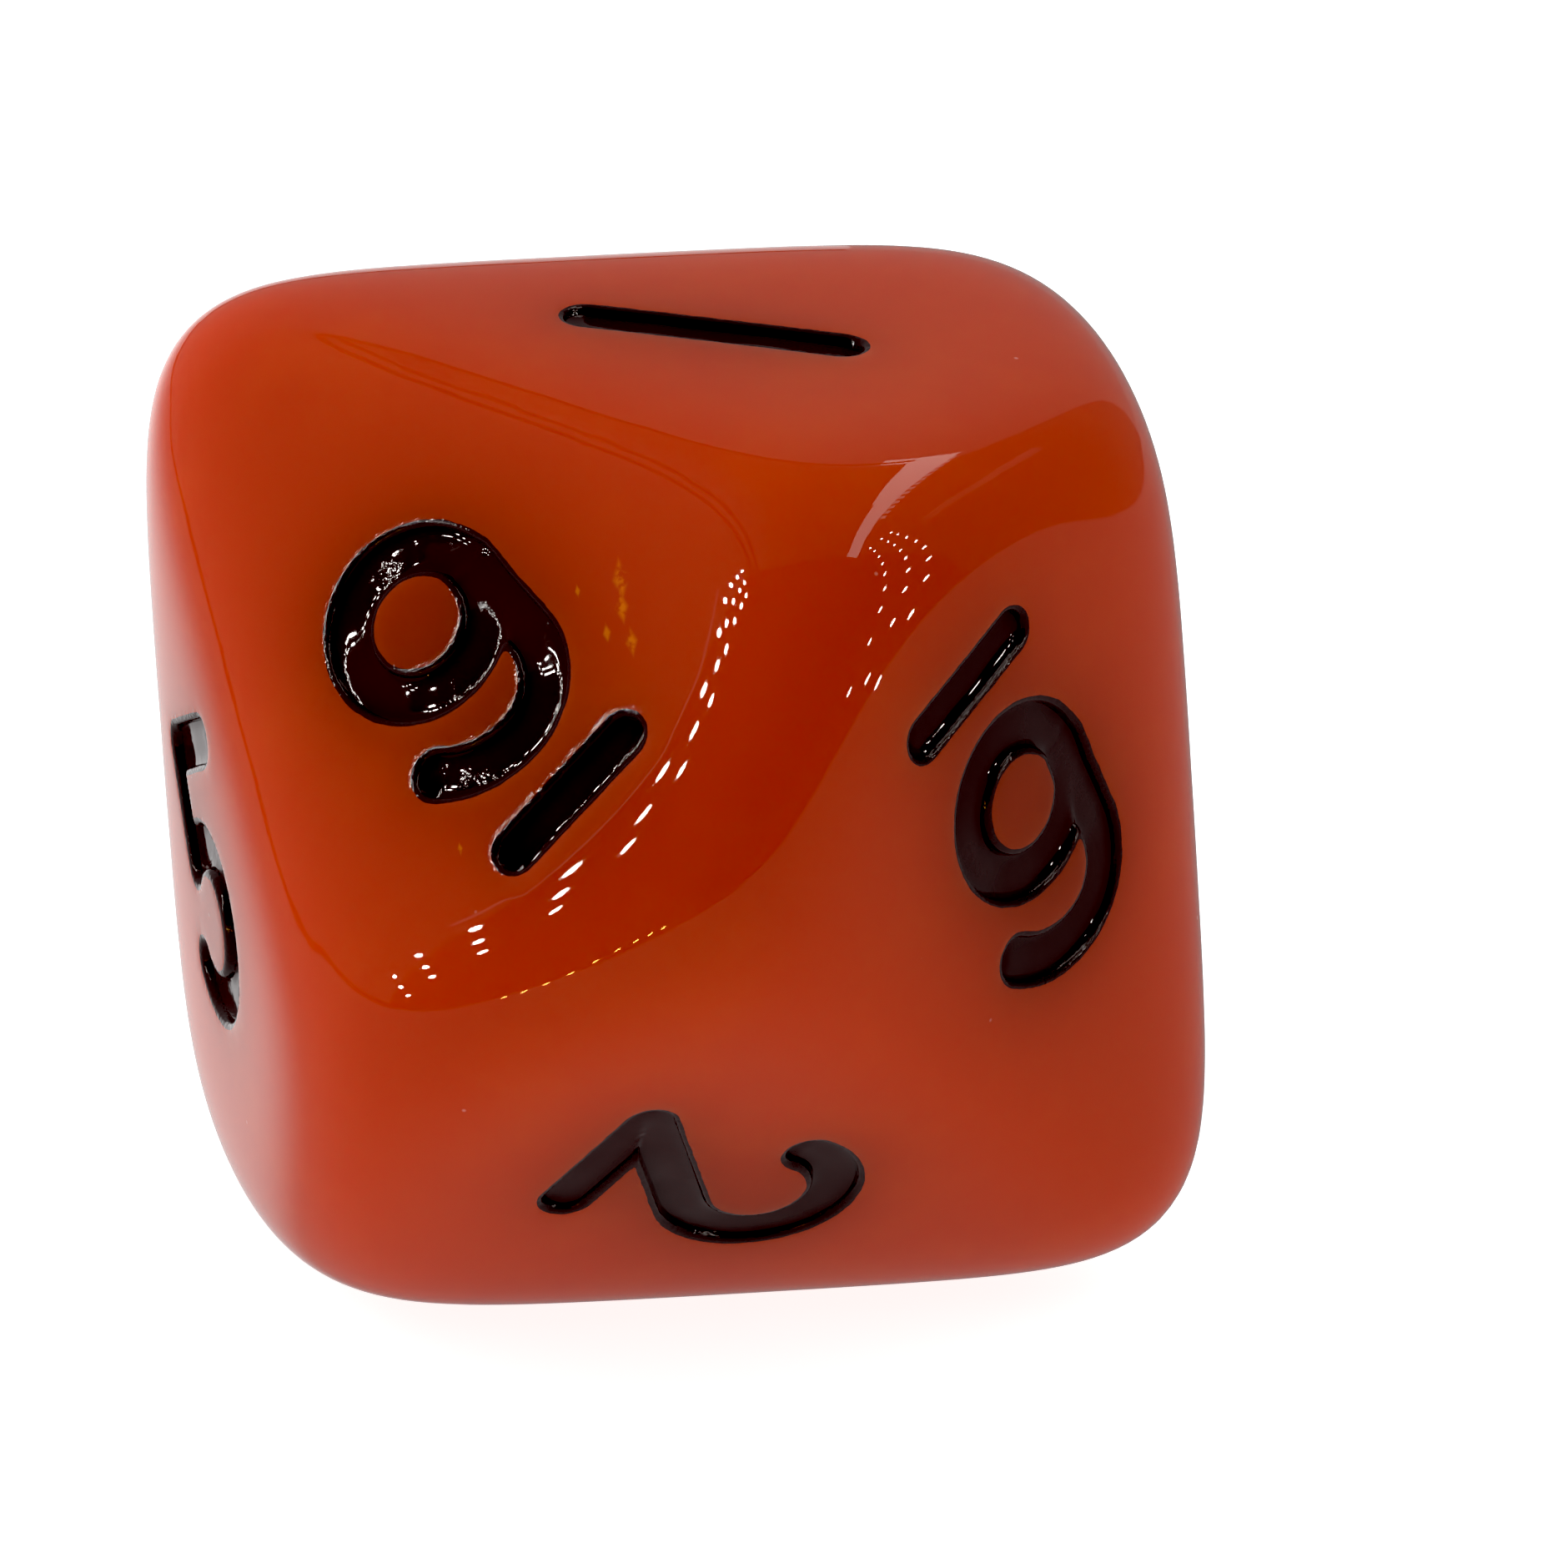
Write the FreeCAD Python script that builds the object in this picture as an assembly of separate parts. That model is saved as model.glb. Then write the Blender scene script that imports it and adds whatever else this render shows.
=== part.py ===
import FreeCAD, Part

import math
import os

from FreeCAD import Placement, Rotation, Vector

# A ten-sided die (pentagonal trapezohedron) with recessed, ink-filled numerals 0 to 9.
# The frame stands the die on its 8 face: +Z up, origin on the floor under the die's
# centre, +X along the floor towards the pole that the even numerals point to.

# ---------------------------------------------------------------- driving dimensions (mm, degrees)
ACROSS_FACES = 16.0       # between two opposite faces, the nominal size of the die
FACE_TILT = 50.9          # angle between a face's normal and the axis through the two poles
EDGE_RADIUS = 2.5         # rounding that tumbling leaves on every edge
POLE_TRIM = 0.8           # how much the two pole corners are blunted before rounding
SIDE_TRIM = 0.65          # how much the ten side corners are blunted before rounding

STROKE = 0.92             # width of a numeral's groove
UNDERLINE_STROKE = 0.86   # width of the bar under the 6 and the 9
GROOVE_DEPTH = 0.5        # groove floor below the face
INK_RECESS = 0.16         # ink surface below the face
NUMERAL_HEIGHT = 5.1      # over the stroke
NUMERAL_WIDTH = 3.44      # over the stroke
UNDERLINE_DROP = 3.5      # numeral's middle to the bar's middle line
ODD_DROP = 0.4            # numeral's middle below its face's centre, on the odd faces
EVEN_DROP = 0.88          # and on the even faces
SIDESTEP = {1: -0.3, 2: -0.32, 5: 0.1, 6: 0.06, 9: -0.22}    # numerals that sit off the middle

# ---------------------------------------------------------------- values worked out from them
CENTRE = Vector(0, 0, ACROSS_FACES / 2)
SIDES = 10
ORDER = (0, 7, 4, 1, 6, 9, 2, 5, 8, 3)    # faces in turn round the axis, even and odd poles by turns
TOP_FACE = 1                              # lies level, with the 8 under it on the floor

HALF_W = (NUMERAL_WIDTH - STROKE) / 2     # the stroke's middle line, from the numeral's middle
HALF_H = (NUMERAL_HEIGHT - STROKE) / 2
BOWL = HALF_W                             # radius of a full-width bowl
SMALL_BOWL = HALF_H * 0.47                # upper bowl of the 3 and the 8
LARGE_BOWL = HALF_H - SMALL_BOWL
HOOK = 28                                 # angle between the end of a bowl's hook and level
TAIL_BOWL = BOWL * 1.45                   # flatter bowl that ends the tail of the 6 and the 9
TAIL_SWEEP = 50                           # angle that it turns through
TWO_START = 172                           # angle at which the bowl of the 2 begins
FOUR_STEM = HALF_W * 0.5                  # right of the middle
FOUR_LEVEL = -HALF_H * 0.4                # crossbar of the 4, below the middle
FIVE_STEM = -HALF_W * 0.54
SEVEN_FOOT = -HALF_W * 0.3

STOCK = 2 * ACROSS_FACES                  # the cube that the core is cut from
BLOCK = 3 * STOCK                         # a block that takes away all of the stock beyond a plane
TOLERANCE = 1e-4


# ---------------------------------------------------------------- the die's directions
def even_pole():
    """Unit vector from the centre to the pole that the even numerals point to."""
    tilt = math.radians(FACE_TILT)
    return Vector(math.sin(tilt), 0, -math.cos(tilt))


def face_normal(numeral):
    """Outward normal of the face that carries the numeral."""
    tilt = math.radians(FACE_TILT)
    up_ray = Vector(math.cos(tilt), 0, math.sin(tilt))
    side_ray = Vector(0, -1, 0)
    steps = ORDER.index(numeral) - ORDER.index(TOP_FACE)
    turn = math.radians(steps * 360 / SIDES)
    ray = up_ray * math.cos(turn) + side_ray * math.sin(turn)
    towards_pole = math.cos(tilt) if numeral % 2 == 0 else -math.cos(tilt)
    return even_pole() * towards_pole + ray * math.sin(tilt)


def face_placement(numeral):
    """The face's own frame: X right and Y up as the numeral is read, Z outward, at the face's centre."""
    normal = face_normal(numeral)
    pole = even_pole() if numeral % 2 == 0 else even_pole() * -1
    up = pole - normal * pole.dot(normal)
    up.normalize()
    right = up.cross(normal)
    return Placement(CENTRE + normal * (ACROSS_FACES / 2), Rotation(right, up, normal, "ZXY"))


# ---------------------------------------------------------------- the body
def cut_beyond(solid, normal, distance):
    """The solid without what lies further than distance from the die's centre along normal."""
    block = Part.makeBox(BLOCK, BLOCK, BLOCK, Vector(-BLOCK / 2, -BLOCK / 2, 0))
    block.Placement = Placement(CENTRE + normal * distance, Rotation(Vector(0, 0, 1), normal))
    return solid.cut(block)


def trimmed_core():
    """The flat-faced solid that lies one edge radius inside the die, with its corners blunted."""
    half = Vector(STOCK / 2, STOCK / 2, STOCK / 2)
    core = Part.makeBox(STOCK, STOCK, STOCK, CENTRE - half)
    for numeral in ORDER:
        core = cut_beyond(core, face_normal(numeral), ACROSS_FACES / 2 - EDGE_RADIUS)
    corners = [vertex.Point - CENTRE for vertex in core.Vertexes]
    pole_reach = max(corner.Length for corner in corners)
    for corner in corners:
        is_pole = corner.Length > pole_reach - TOLERANCE
        trim = POLE_TRIM if is_pole else SIDE_TRIM
        direction = Vector(corner)
        direction.normalize()
        core = cut_beyond(core, direction, corner.Length - trim)
    return core


def rounded_blank():
    """The die before its numerals: flat faces joined by rolled edges and corners."""
    return trimmed_core().makeOffsetShape(EDGE_RADIUS, TOLERANCE, join=0)


# ---------------------------------------------------------------- numeral strokes
# Each numeral is a list of flat stroke outlines in its own plane, about the numeral's middle.
# Coordinates follow the middle line of the stroke. Every open stroke has round ends.

def in_plane(x, y):
    return Vector(x, y, 0)


def on_circle(centre, radius, angle):
    turn = math.radians(angle)
    return (centre[0] + radius * math.cos(turn), centre[1] + radius * math.sin(turn))


def arc(centre, radius, start, stop):
    """Edge round the centre from angle start to angle stop, clockwise when stop is the smaller."""
    angles = (start, (start + stop) / 2, stop)
    points = [in_plane(*on_circle(centre, radius, angle)) for angle in angles]
    return Part.Arc(*points).toShape()


def line(start, stop):
    return Part.LineSegment(in_plane(*start), in_plane(*stop)).toShape()


def leaving_angle(centre, radius, target):
    """Angle at which a clockwise arc leaves its circle straight towards the target point."""
    dx, dy = centre[0] - target[0], centre[1] - target[1]
    reach = math.hypot(dx, dy)
    return math.degrees(math.atan2(dy, dx) - math.acos(-radius / reach))


def bar_outline(start, stop, half_width):
    """Round-ended outline about a straight middle line."""
    along = in_plane(*stop) - in_plane(*start)
    angle = math.degrees(math.atan2(along.y, along.x))
    left = [on_circle(end, half_width, angle + 90) for end in (start, stop)]
    right = [on_circle(end, half_width, angle - 90) for end in (start, stop)]
    return Part.Wire([
        line(left[0], left[1]),
        arc(stop, half_width, angle + 90, angle - 90),
        line(right[1], right[0]),
        arc(start, half_width, angle - 90, angle - 270),
    ])


def bar(start, stop, width=STROKE):
    """One straight stroke."""
    return Part.Face(bar_outline(start, stop, width / 2))


def stroke(*edges):
    """One bent stroke along edges that meet end to end."""
    return Part.Face(Part.Wire(list(edges)).makeOffset2D(STROKE / 2, join=0, openResult=False))


def bent_bar(*points):
    """One stroke of straight runs from point to point."""
    return stroke(*[line(start, stop) for start, stop in zip(points, points[1:])])


def ring(centre, radius):
    """A round closed stroke."""
    edges = [Part.Wire(Part.makeCircle(radius + reach, in_plane(*centre)))
             for reach in (STROKE / 2, -STROKE / 2)]
    return Part.makeFace(edges, "Part::FaceMakerBullseye")


def zero():
    side = HALF_H - BOWL
    edges = [bar_outline((0, -side), (0, side), BOWL + reach)
             for reach in (STROKE / 2, -STROKE / 2)]
    return [Part.makeFace(edges, "Part::FaceMakerBullseye")]


def one():
    return [bar((0, -HALF_H), (0, HALF_H))]


def two():
    bowl = (0, HALF_H - BOWL)
    foot = (-HALF_W, -HALF_H)
    leave = leaving_angle(bowl, BOWL, foot)
    return [stroke(
        arc(bowl, BOWL, TWO_START, leave),
        line(on_circle(bowl, BOWL, leave), foot),
        line(foot, (HALF_W, -HALF_H)),
    )]


def three():
    upper = (0, HALF_H - SMALL_BOWL)
    lower = (0, LARGE_BOWL - HALF_H)
    return [
        stroke(arc(upper, SMALL_BOWL, 180 - HOOK, -90)),
        stroke(arc(lower, LARGE_BOWL, 90, HOOK - 180)),
    ]


def four():
    top = (FOUR_STEM, HALF_H)
    return [
        bar((FOUR_STEM, -HALF_H), top),
        bent_bar(top, (-HALF_W, FOUR_LEVEL), (HALF_W, FOUR_LEVEL)),
    ]


def five():
    bowl = (0, BOWL - HALF_H)
    shoulder = math.degrees(math.acos(FIVE_STEM / BOWL))
    return [stroke(
        line((HALF_W, HALF_H), (FIVE_STEM, HALF_H)),
        line((FIVE_STEM, HALF_H), on_circle(bowl, BOWL, shoulder)),
        arc(bowl, BOWL, shoulder, HOOK - 180),
    )]


def nine():
    bowl = (0, HALF_H - BOWL)
    tail = (0, BOWL - HALF_H)
    flatter = (0, TAIL_BOWL - HALF_H)
    return [
        ring(bowl, BOWL),
        stroke(
            line((BOWL, bowl[1]), (BOWL, tail[1])),
            arc(tail, BOWL, 0, -90),
            arc(flatter, TAIL_BOWL, -90, -90 - TAIL_SWEEP),
        ),
    ]


def six():
    turned = nine()
    for outline in turned:
        outline.rotate(Vector(0, 0, 0), Vector(0, 0, 1), 180)
    return turned


def seven():
    return [bent_bar((-HALF_W, HALF_H), (HALF_W, HALF_H), (SEVEN_FOOT, -HALF_H))]


def eight():
    return [
        ring((0, HALF_H - SMALL_BOWL), SMALL_BOWL),
        ring((0, LARGE_BOWL - HALF_H), LARGE_BOWL),
    ]


def underline():
    return [bar((-HALF_W, -UNDERLINE_DROP), (HALF_W, -UNDERLINE_DROP), UNDERLINE_STROKE)]


NUMERALS = (zero, one, two, three, four, five, six, seven, eight, nine)
UNDERLINED = (6, 9)


# ---------------------------------------------------------------- grooves and ink
def mark_solid(numeral, outlines, bottom, top):
    """All strokes of one mark as a single solid between two heights, in place on its face."""
    height = Vector(0, 0, top - bottom)
    prisms = [outline.extrude(height) for outline in outlines]
    joined = prisms[0]
    for prism in prisms[1:]:
        joined = joined.fuse(prism)
    joined = joined.removeSplitter()
    drop = EVEN_DROP if numeral % 2 == 0 else ODD_DROP
    joined.translate(Vector(SIDESTEP.get(numeral, 0), -drop, bottom))
    joined.Placement = face_placement(numeral).multiply(joined.Placement)
    return joined


def marks():
    """Every inked mark: node name, numeral of its face, and its stroke outlines."""
    rows = []
    for numeral, outlines in enumerate(NUMERALS):
        rows.append((f"numeral_{numeral}", numeral, outlines()))
        if numeral in UNDERLINED:
            rows.append((f"underline_{numeral}", numeral, underline()))
    return rows


def build():
    """Node name to solid, for the body and every ink filling."""
    body = rounded_blank()
    nodes = {}
    for name, numeral, outlines in marks():
        groove = mark_solid(numeral, outlines, -GROOVE_DEPTH, GROOVE_DEPTH)
        nodes[name] = mark_solid(numeral, outlines, -GROOVE_DEPTH, -INK_RECESS)
        body = body.cut(groove)
    nodes["die_body"] = body
    return nodes


os.makedirs("parts", exist_ok=True)
for node, shape in build().items():
    solid = shape.Solids[0]
    print(node, len(shape.Solids), solid.isValid(), round(solid.Volume, 3))
    solid.exportStep(f"parts/{node}.step")
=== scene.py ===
import math

import bpy
import numpy as np
from mathutils import Matrix, Vector, noise
from mathutils.geometry import delaunay_2d_cdt


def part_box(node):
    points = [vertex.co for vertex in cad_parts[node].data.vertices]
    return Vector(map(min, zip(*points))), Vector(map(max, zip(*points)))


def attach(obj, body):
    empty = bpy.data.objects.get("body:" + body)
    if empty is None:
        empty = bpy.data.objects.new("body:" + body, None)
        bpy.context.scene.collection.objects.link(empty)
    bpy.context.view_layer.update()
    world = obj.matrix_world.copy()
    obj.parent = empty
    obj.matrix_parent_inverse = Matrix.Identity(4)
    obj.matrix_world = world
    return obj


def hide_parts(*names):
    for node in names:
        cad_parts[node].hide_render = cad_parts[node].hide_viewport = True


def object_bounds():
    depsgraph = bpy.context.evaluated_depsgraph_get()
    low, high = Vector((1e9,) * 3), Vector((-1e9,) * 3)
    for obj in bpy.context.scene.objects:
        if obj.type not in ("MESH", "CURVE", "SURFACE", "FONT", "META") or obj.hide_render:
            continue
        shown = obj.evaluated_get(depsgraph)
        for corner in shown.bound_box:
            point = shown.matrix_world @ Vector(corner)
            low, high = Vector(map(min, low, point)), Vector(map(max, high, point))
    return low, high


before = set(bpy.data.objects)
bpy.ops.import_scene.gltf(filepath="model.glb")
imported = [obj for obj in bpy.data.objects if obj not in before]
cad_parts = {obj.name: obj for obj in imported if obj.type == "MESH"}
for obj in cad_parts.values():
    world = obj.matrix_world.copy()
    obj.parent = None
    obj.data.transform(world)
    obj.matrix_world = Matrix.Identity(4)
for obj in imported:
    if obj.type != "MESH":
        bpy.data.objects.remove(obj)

cad_low, cad_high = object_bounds()

# ---------------------------------------------------------------- the die's sizes
# Lengths are in millimetres until a mesh is made, and MM turns them into metres there.
MM = 0.001
body_low, body_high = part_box("die_body")
CENTRE = np.array((body_low + body_high) / 2) / MM
APOTHEM = (body_high.z - body_low.z) / 2 / MM      # from the centre to each face
FACE_TILT = math.radians(50.9)                     # a face's normal to the axis through the poles
ORDER = (0, 7, 4, 1, 6, 9, 2, 5, 8, 3)             # faces in turn round the axis
TOP_FACE = 1
SOFTNESS = 1.548                                   # per mm: how closely edges keep to the sharp shape
POLE_TRIM = 1.02                                   # blunting of the two poles
SIDE_TRIM = 0.86                                   # blunting of the ten side corners

STROKE = 0.92                                      # groove width at the face
UNDERLINE_STROKE = 0.86
NUMERAL_HEIGHT = 5.1
NUMERAL_WIDTH = 3.44
UNDERLINE_DROP = 3.5                               # from a numeral's middle to the bar under it
ODD_DROP = 0.4                                     # from a face's middle down to its numeral's
EVEN_DROP = 0.88
SIDESTEP = {1: -0.3, 2: -0.32, 5: 0.1, 6: 0.06, 9: -0.22}
UNDERLINED = (6, 9)
GROOVE_DEPTH = 0.5
INK_RECESS = 0.2                                   # the middle of the paint's surface below the face

# ---------------------------------------------------------------- directions of the faces
EVEN_POLE = np.array([math.sin(FACE_TILT), 0.0, -math.cos(FACE_TILT)])


def face_frame(numeral):
    """Outward normal of a face, and right and up as its numeral is read."""
    steps = ORDER.index(numeral) - ORDER.index(TOP_FACE)
    turn = math.radians(steps * 360 / len(ORDER))
    up_ray = np.array([math.cos(FACE_TILT), 0.0, math.sin(FACE_TILT)])
    side_ray = np.array([0.0, -1.0, 0.0])
    ray = up_ray * math.cos(turn) + side_ray * math.sin(turn)
    side = 1 if numeral % 2 == 0 else -1
    normal = EVEN_POLE * side * math.cos(FACE_TILT) + ray * math.sin(FACE_TILT)
    up = EVEN_POLE * side
    up = up - normal * up.dot(normal)
    up /= np.linalg.norm(up)
    return normal, np.cross(up, normal), up


FRAMES = {numeral: face_frame(numeral) for numeral in ORDER}


def corner(*numerals):
    """Where three sharp faces meet, from the die's centre."""
    normals = np.array([FRAMES[numeral][0] for numeral in numerals])
    return np.linalg.solve(normals, np.full(3, APOTHEM))


POLES = {0: corner(0, 4, 6), 1: corner(7, 1, 9)}
SIDE_CORNERS = [corner(ORDER[i - 1], ORDER[i], ORDER[(i + 1) % 10]) for i in range(10)]


def kite(numeral):
    """The sharp face's four corners in order: its pole, then the three side corners that it touches."""
    place = ORDER.index(numeral)
    sides = [SIDE_CORNERS[(place + step) % 10] for step in (-1, 0, 1)]
    return [POLES[numeral % 2], *sides]


# ---------------------------------------------------------------- the tumbled surface
def blunting_planes():
    """Normals and distances of the faces and of the planes that blunt the corners."""
    normals = [FRAMES[numeral][0] for numeral in ORDER]
    distances = [APOTHEM] * len(ORDER)
    for points, trim in ((list(POLES.values()), POLE_TRIM), (SIDE_CORNERS, SIDE_TRIM)):
        for point in points:
            reach = np.linalg.norm(point)
            normals.append(point / reach)
            distances.append(reach - trim)
    return np.array(normals), np.array(distances)


PLANE_NORMALS, PLANE_DISTANCES = blunting_planes()
FIRST_REACH = 0.95                                 # where the search along a ray starts
SEARCH_STEPS = 30
LONGEST_STEP = 1.0


def tumbled(points):
    """Moves points of the sharp die along their rays onto the rounded one."""
    rays = points / np.linalg.norm(points, axis=1, keepdims=True)
    cosines = rays @ PLANE_NORMALS.T
    reach = np.linalg.norm(points, axis=1) * FIRST_REACH
    for _ in range(SEARCH_STEPS):
        power = SOFTNESS * (reach[:, None] * cosines - PLANE_DISTANCES)
        peak = power.max(axis=1, keepdims=True)
        weight = np.exp(power - peak)
        total = weight.sum(axis=1)
        value = (np.log(total) + peak[:, 0]) / SOFTNESS
        slope = (weight * cosines).sum(axis=1) / total
        reach = reach - np.clip(value / slope, -LONGEST_STEP, LONGEST_STEP)
    return rays * reach[:, None]


# ---------------------------------------------------------------- numerals as strokes
# A stroke is a list of pieces of its middle line: ("line", start, stop) or
# ("arc", centre, radius, start angle, stop angle), with angles in degrees, stop below start.
HALF_W = (NUMERAL_WIDTH - STROKE) / 2
HALF_H = (NUMERAL_HEIGHT - STROKE) / 2
BOWL = HALF_W
SMALL_BOWL = HALF_H * 0.47                         # upper bowl of the 3 and the 8
LARGE_BOWL = HALF_H - SMALL_BOWL
HOOK = 28                                          # angle between the end of a bowl's hook and level
TAIL_BOWL = BOWL * 1.45                            # flatter bowl that ends the tail of the 6 and the 9
TAIL_SWEEP = 50                                    # angle that it turns through
TWO_START = 172                                    # angle at which the bowl of the 2 begins
FOUR_STEM = HALF_W * 0.5                           # right of the middle
FOUR_LEVEL = -HALF_H * 0.4                         # crossbar of the 4, below the middle
FIVE_STEM = -HALF_W * 0.54
SEVEN_FOOT = -HALF_W * 0.3


def on_circle(centre, radius, angle):
    turn = math.radians(angle)
    return (centre[0] + radius * math.cos(turn), centre[1] + radius * math.sin(turn))


def leaving_angle(centre, radius, target):
    """Angle at which a clockwise arc leaves its circle straight towards the target point."""
    dx, dy = centre[0] - target[0], centre[1] - target[1]
    return math.degrees(math.atan2(dy, dx) - math.acos(-radius / math.hypot(dx, dy)))


def run(*points):
    return [("line", start, stop) for start, stop in zip(points, points[1:])]


def zero():
    side = HALF_H - BOWL
    return [[
        ("arc", (0, side), BOWL, 180, 0),
        ("line", (BOWL, side), (BOWL, -side)),
        ("arc", (0, -side), BOWL, 0, -180),
        ("line", (-BOWL, -side), (-BOWL, side)),
    ]]


def one():
    return [run((0, -HALF_H), (0, HALF_H))]


def two():
    bowl = (0, HALF_H - BOWL)
    foot = (-HALF_W, -HALF_H)
    leave = leaving_angle(bowl, BOWL, foot)
    return [[
        ("arc", bowl, BOWL, TWO_START, leave),
        *run(on_circle(bowl, BOWL, leave), foot, (HALF_W, -HALF_H)),
    ]]


def three():
    return [
        [("arc", (0, HALF_H - SMALL_BOWL), SMALL_BOWL, 180 - HOOK, -90)],
        [("arc", (0, LARGE_BOWL - HALF_H), LARGE_BOWL, 90, HOOK - 180)],
    ]


def four():
    top = (FOUR_STEM, HALF_H)
    return [
        run((FOUR_STEM, -HALF_H), top),
        run(top, (-HALF_W, FOUR_LEVEL), (HALF_W, FOUR_LEVEL)),
    ]


def five():
    bowl = (0, BOWL - HALF_H)
    shoulder = math.degrees(math.acos(FIVE_STEM / BOWL))
    return [[
        *run((HALF_W, HALF_H), (FIVE_STEM, HALF_H), on_circle(bowl, BOWL, shoulder)),
        ("arc", bowl, BOWL, shoulder, HOOK - 180),
    ]]


def nine():
    bowl = (0, HALF_H - BOWL)
    tail = (0, BOWL - HALF_H)
    flatter = (0, TAIL_BOWL - HALF_H)
    return [
        [("arc", bowl, BOWL, 360, 0)],
        [
            ("line", (BOWL, bowl[1]), (BOWL, tail[1])),
            ("arc", tail, BOWL, 0, -90),
            ("arc", flatter, TAIL_BOWL, -90, -90 - TAIL_SWEEP),
        ],
    ]


def six():
    """The nine turned half round."""
    turned = []
    for stroke in nine():
        turned.append([])
        for kind, first, *rest in stroke:
            start = (-first[0], -first[1])
            if kind == "line":
                turned[-1].append((kind, start, (-rest[0][0], -rest[0][1])))
            else:
                turned[-1].append((kind, start, rest[0], rest[1] + 180, rest[2] + 180))
    return turned


def seven():
    return [run((-HALF_W, HALF_H), (HALF_W, HALF_H), (SEVEN_FOOT, -HALF_H))]


def eight():
    return [
        [("arc", (0, HALF_H - SMALL_BOWL), SMALL_BOWL, 360, 0)],
        [("arc", (0, LARGE_BOWL - HALF_H), LARGE_BOWL, 360, 0)],
    ]


NUMERALS = (zero, one, two, three, four, five, six, seven, eight, nine)


def distance_to_piece(points, piece):
    if piece[0] == "line":
        start, stop = np.array(piece[1]), np.array(piece[2])
        along = stop - start
        share = np.clip((points - start) @ along / (along @ along), 0, 1)
        return np.linalg.norm(points - start - share[:, None] * along, axis=1)
    _, centre, radius, high, low = piece
    arm = points - np.array(centre)
    angle = np.degrees(np.arctan2(arm[:, 1], arm[:, 0]))
    inside = (angle - low) % 360 <= high - low
    ring = np.abs(np.linalg.norm(arm, axis=1) - radius)
    ends = [np.linalg.norm(points - np.array(on_circle(centre, radius, end)), axis=1)
            for end in (low, high)]
    return np.where(inside, ring, np.minimum(*ends))


CROTCH = 0.12      # rounding where two strokes run together


def distance_to_mark(points, strokes):
    """Distance from each point to the nearest middle line, eased where two strokes meet."""
    each = [np.min([distance_to_piece(points, piece) for piece in stroke], axis=0) for stroke in strokes]
    joined = each[0]
    for other in each[1:]:
        ease = np.clip(CROTCH - np.abs(joined - other), 0, None) / CROTCH
        joined = np.minimum(joined, other) - ease ** 2 * CROTCH / 4
    return joined


def marks_on(numeral):
    """The marks of one face as (node, strokes, half width, middle): the numeral and any bar."""
    drop = EVEN_DROP if numeral % 2 == 0 else ODD_DROP
    middle = np.array([SIDESTEP.get(numeral, 0), -drop])
    marks = [(f"numeral_{numeral}", NUMERALS[numeral](), STROKE / 2, middle)]
    if numeral in UNDERLINED:
        bar = [run((-HALF_W, -UNDERLINE_DROP), (HALF_W, -UNDERLINE_DROP))]
        marks.append((f"underline_{numeral}", bar, UNDERLINE_STROKE / 2, middle))
    return marks


# ---------------------------------------------------------------- contours of a mark
CELL = 0.06                                        # grid for finding contours
MARGIN = 1.0                                       # the grid's margin round a mark
CONTOUR_STEP = 0.09                                # spacing of points along one
CORRECTIONS = 3                                    # steps that bring such points onto their contour
LEAST_SLOPE = 0.3                                  # squared, at sharp bends of the distance
INK_EDGE = -0.005                                  # the paint's outline, just inside the groove's
# Distances beyond a mark's outline at which contours are drawn, closest where the rim and wall curve.
LEVELS = (0.17, 0.12, 0.085, 0.055, 0.03, 0.01, INK_EDGE, -0.025, -0.05, -0.075, -0.1, -0.13, -0.17,
          -0.21, -0.25, -0.31, -0.38)


def beyond_edge(points, mark):
    """Distance outside the groove's outline, negative inside it."""
    _, strokes, half_width, middle = mark
    return distance_to_mark(points - middle, strokes) - half_width


def outward(points, mark):
    """Slope of beyond_edge at each point: a unit step away from the middle line."""
    nudge = 1e-4
    return np.stack([
        (beyond_edge(points + step, mark) - beyond_edge(points - step, mark)) / (2 * nudge)
        for step in np.eye(2) * nudge
    ], axis=1)


def contours(mark, level):
    """Closed loops of evenly spaced points where beyond_edge equals level."""
    middle = mark[3]
    xs = np.arange(-HALF_W - MARGIN, HALF_W + MARGIN, CELL) + middle[0]
    ys = np.arange(-UNDERLINE_DROP - MARGIN, HALF_H + MARGIN, CELL) + middle[1]
    grid = np.stack(np.meshgrid(xs, ys, indexing="ij"), axis=-1)
    value = beyond_edge(grid.reshape(-1, 2), mark).reshape(grid.shape[:2]) - level
    links = grid_crossings(value > 0)
    loops = []
    while links:
        points = []
        for low, high in next_loop(links):
            share = value[low] / (value[low] - value[high])
            points.append(grid[low] + (grid[high] - grid[low]) * share)
        loops.append(even_loop(np.array(points), mark, level))
    return loops


def grid_crossings(sign):
    """The grid edges over which the sign changes, each with the two that the contour leads on to."""
    links = {}
    cells = sign[:-1, :-1].astype(int) + sign[1:, :-1] + sign[:-1, 1:] + sign[1:, 1:]
    for i, j in zip(*np.nonzero((cells > 0) & (cells < 4))):
        for triangle in (((i, j), (i + 1, j), (i + 1, j + 1)), ((i, j), (i + 1, j + 1), (i, j + 1))):
            cut = [tuple(sorted((triangle[n], triangle[n - 1]))) for n in range(3)
                   if sign[triangle[n]] != sign[triangle[n - 1]]]
            if cut:
                links.setdefault(cut[0], []).append(cut[1])
                links.setdefault(cut[1], []).append(cut[0])
    return links


def next_loop(links):
    """Takes one closed loop of grid edges out of the links."""
    first = next(iter(links))
    loop = [first]
    step = links.pop(first)[0]
    while step != first:
        loop.append(step)
        onward = [key for key in links.pop(step) if key in links or key == first]
        if len(loop) > 2 and first in onward:
            break
        step = [key for key in onward if key != first][0]
    return loop


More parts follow.
